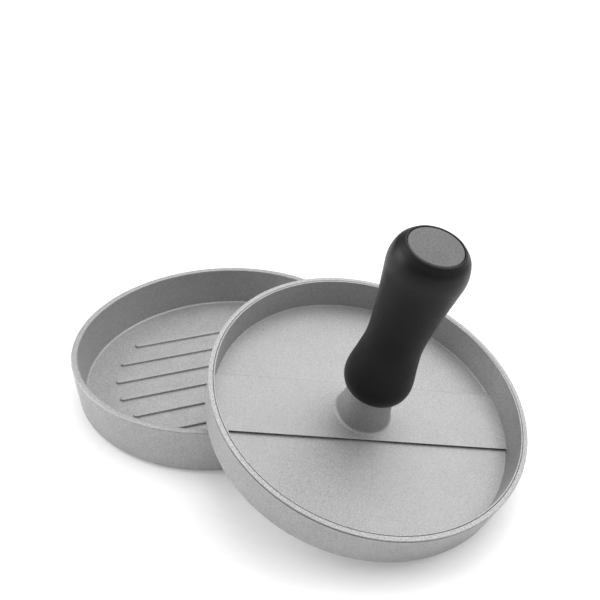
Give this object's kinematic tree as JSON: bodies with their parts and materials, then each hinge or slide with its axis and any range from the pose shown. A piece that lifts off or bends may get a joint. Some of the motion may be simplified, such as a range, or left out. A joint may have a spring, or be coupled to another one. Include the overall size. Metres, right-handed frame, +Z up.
{
  "type": "patty press",
  "caption": "Cast aluminium patty press: a round ribbed dish, and a round press plate with an upright black handle that leans on the dish's rim",
  "frame": {"origin": "centre of the dish's flat underside, on the table", "axes": "+Z up, +X from the dish towards the press, down the way the press leans, +Y to the left of +X"},
  "size_m": [0.1923, 0.12, 0.0999],
  "materials": {
    "cast_aluminium": "fine sand-blasted cast aluminium, satin",
    "hard_plastic": "moulded black plastic",
    "soft_grip": "satin soft-touch black plastic",
    "cap_plastic": "finely textured dark plastic",
    "steel": "zinc-plated steel"
  },
  "bodies": {
    "dish": {"dish": "cast_aluminium"},
    "press": {"press_plate": "cast_aluminium", "handle_core": "hard_plastic", "handle_grip": "soft_grip", "handle_cap": "cap_plastic", "handle_screw": "steel", "flat_washer": "steel", "spring_washer": "steel"}
  },
  "joints": [
    {"name": "press_lift", "type": "slide", "parent": "dish", "child": "press", "axis": [0.3173, 0, 0.9483], "range_m": [0, 0.06]}
  ]
}
